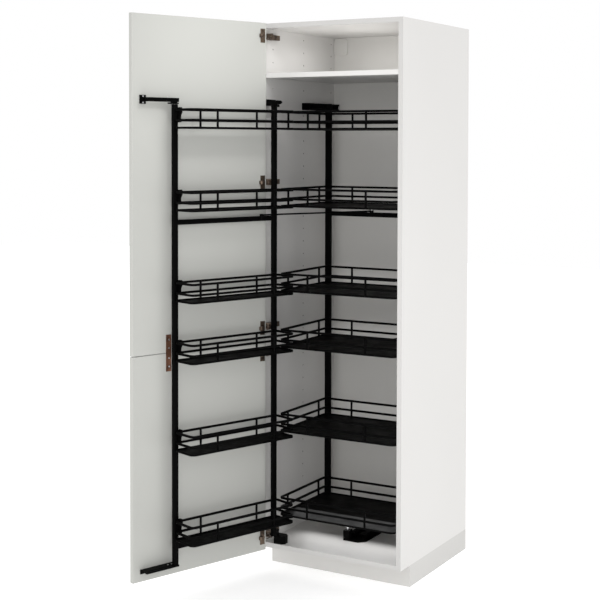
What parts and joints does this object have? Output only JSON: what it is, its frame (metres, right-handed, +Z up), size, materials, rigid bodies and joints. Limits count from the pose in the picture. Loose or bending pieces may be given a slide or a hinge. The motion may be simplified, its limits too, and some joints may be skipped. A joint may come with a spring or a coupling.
{
  "type": "pull out larder unit",
  "caption": "Tall white larder cabinet with a hinged door; door-side wire baskets swing out and draw a sliding rear basket frame forward.",
  "frame": {"origin": "on the floor, at the middle of the cabinet's width, in the plane of its front edges", "axes": "+Z up; +Y from the front of the cabinet to its back; +X to the right seen from the front; the door is hinged on the left and stands open at rest"},
  "size_m": [0.7697, 1.1923, 2.08],
  "materials": {
    "carcass_board": "white melamine-faced board, satin",
    "plinth_board": "white melamine-faced board, satin",
    "back_board": "white lacquered back board, satin",
    "door_board": "white melamine-faced board, satin",
    "dowel_wood": "plain beech",
    "leg_plastic": "moulded black plastic",
    "hinge_bronze": "bronze-tinted plating",
    "copper_plate": "copper-brown plating",
    "bright_steel": "zinc-plated",
    "black_coating": "black powder coating",
    "black_basket": "black powder coating"
  },
  "bodies": {
    "cabinet": {"side_panel_left": "carcass_board", "side_panel_right": "carcass_board", "top_panel": "carcass_board", "bottom_panel": "carcass_board", "back_panel": "back_board", "fixed_shelf": "carcass_board", "carcass_dowels": "dowel_wood", "plinth_front": "plinth_board", "plinth_left": "plinth_board", "plinth_right": "plinth_board", "levelling_legs": "leg_plastic", "hinge_arms": "hinge_bronze", "top_pivot_bracket": "black_coating", "top_pivot_pin": "bright_steel", "base_pivot_bracket": "black_coating", "base_pivot_pin": "bright_steel", "top_guide_rail": "black_coating", "base_runner": "black_coating", "runner_stop_pin": "bright_steel"},
    "door": {"door_upper_panel": "door_board", "door_lower_panel": "door_board", "joining_plate": "copper_plate", "joining_screws": "bright_steel", "hinge_cups": "hinge_bronze", "top_door_rail": "black_coating", "bottom_door_rail": "black_coating", "rail_screws": "bright_steel"},
    "hinge_links": {"hinge_links": "hinge_bronze"},
    "door_carriages": {"top_carriage": "black_coating", "bottom_carriage": "black_coating"},
    "door_frame": {"front_upright_free": "black_coating", "front_upright_pivot": "black_coating", "front_crossbar_mid": "black_coating", "front_crossbar_low": "black_coating", "top_pivot_lever": "black_coating", "base_pivot_lever": "black_coating", "front_tray_clips": "black_coating", "front_tray_1": "black_basket", "front_tray_2": "black_basket", "front_tray_3": "black_basket", "front_tray_4": "black_basket", "front_tray_5": "black_basket", "front_tray_6": "black_basket"},
    "link_rods": {"link_rod_mid": "black_coating", "link_rod_low": "black_coating"},
    "rear_frame": {"rear_upright_left": "black_coating", "rear_upright_right": "black_coating", "rear_crossbar_mid": "black_coating", "rear_crossbar_low": "black_coating", "rear_tray_clips": "black_coating", "rear_base_carriage": "black_coating", "rear_top_carriage": "black_coating", "link_pins": "bright_steel", "rear_tray_1": "black_basket", "rear_tray_2": "black_basket", "rear_tray_3": "black_basket", "rear_tray_4": "black_basket", "rear_tray_5": "black_basket", "rear_tray_6": "black_basket"}
  },
  "joints": [
    {"name": "door_swing", "type": "hinge", "parent": "cabinet", "child": "door", "pos_m": [-0.286, -0.032, 0.08], "axis": [0, 0, 1], "range_deg": [0, 109.5]},
    {"name": "frame_swing", "type": "hinge", "parent": "cabinet", "child": "door_frame", "pos_m": [-0.23, 0.0075, 0.128], "axis": [0, 0, 1], "range_deg": [0, 109.5]},
    {"name": "carriage_slide", "type": "slide", "parent": "door", "child": "door_carriages", "axis": [-0.3338, -0.9426, 0], "range_m": [0, 0.112]},
    {"name": "hinge_link_slide", "type": "slide", "parent": "cabinet", "child": "hinge_links", "axis": [-0.3511, 0.9363, 0], "range_m": [0, 0.03418]},
    {"name": "rear_slide", "type": "slide", "parent": "cabinet", "child": "rear_frame", "axis": [0, 1, 0], "range_m": [0, 0.184]},
    {"name": "link_swing", "type": "hinge", "parent": "rear_frame", "child": "link_rods", "pos_m": [-0.0045, 0.3558, 0.2], "axis": [0, 0, 1], "range_deg": [0, 12.21]}
  ],
  "couplings": [
    {"joint": "frame_swing", "follows": "door_swing", "ratio": 1},
    {"joint": "carriage_slide", "follows": "door_swing", "m_per_rad": 0.058604},
    {"joint": "hinge_link_slide", "follows": "door_swing", "m_per_rad": 0.017883},
    {"joint": "rear_slide", "follows": "door_swing", "m_per_rad": 0.096278},
    {"joint": "link_swing", "follows": "door_swing", "ratio": 0.11138}
  ]
}
